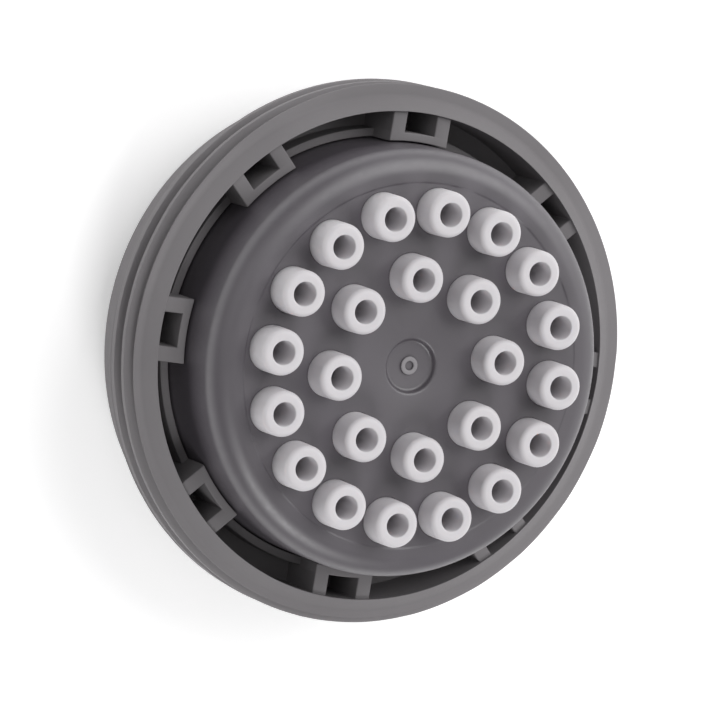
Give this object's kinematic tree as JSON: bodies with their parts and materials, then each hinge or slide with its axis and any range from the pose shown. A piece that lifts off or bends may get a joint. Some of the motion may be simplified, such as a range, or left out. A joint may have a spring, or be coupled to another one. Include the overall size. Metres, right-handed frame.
{
  "type": "tap aerator",
  "caption": "Round screw-in tap aerator: a threaded ring with key eyes holds a raised spray face of soft nozzles, with a flow regulator, filter and sealing washer behind it.",
  "frame": {"origin": "centre of the sealing washer's underside, on the inlet side, where the part rests", "axes": "+Z along the thread's axis, out of the spray face; the first outer nozzle stands a sixteenth of a half turn from +X"},
  "size_m": [0.0239, 0.0238, 0.0105],
  "materials": {
    "ring_plastic": "moulded mid-grey acetal, matt",
    "body_plastic": "moulded dark grey acetal, satin",
    "nozzle_silicone": "moulded white silicone rubber, soft matt",
    "inner_plastic": "moulded natural acetal",
    "o_ring_rubber": "moulded black rubber",
    "filter_plastic": "moulded pale grey plastic screen",
    "washer_rubber": "moulded black rubber, matt"
  },
  "bodies": {
    "root": {"threaded_ring": "ring_plastic", "spray_body": "body_plastic", "nozzle_mat": "nozzle_silicone", "jet_plate": "inner_plastic", "regulator_body": "inner_plastic", "regulator_o_ring": "o_ring_rubber", "filter_screen": "filter_plastic", "sealing_washer": "washer_rubber"}
  },
  "joints": []
}
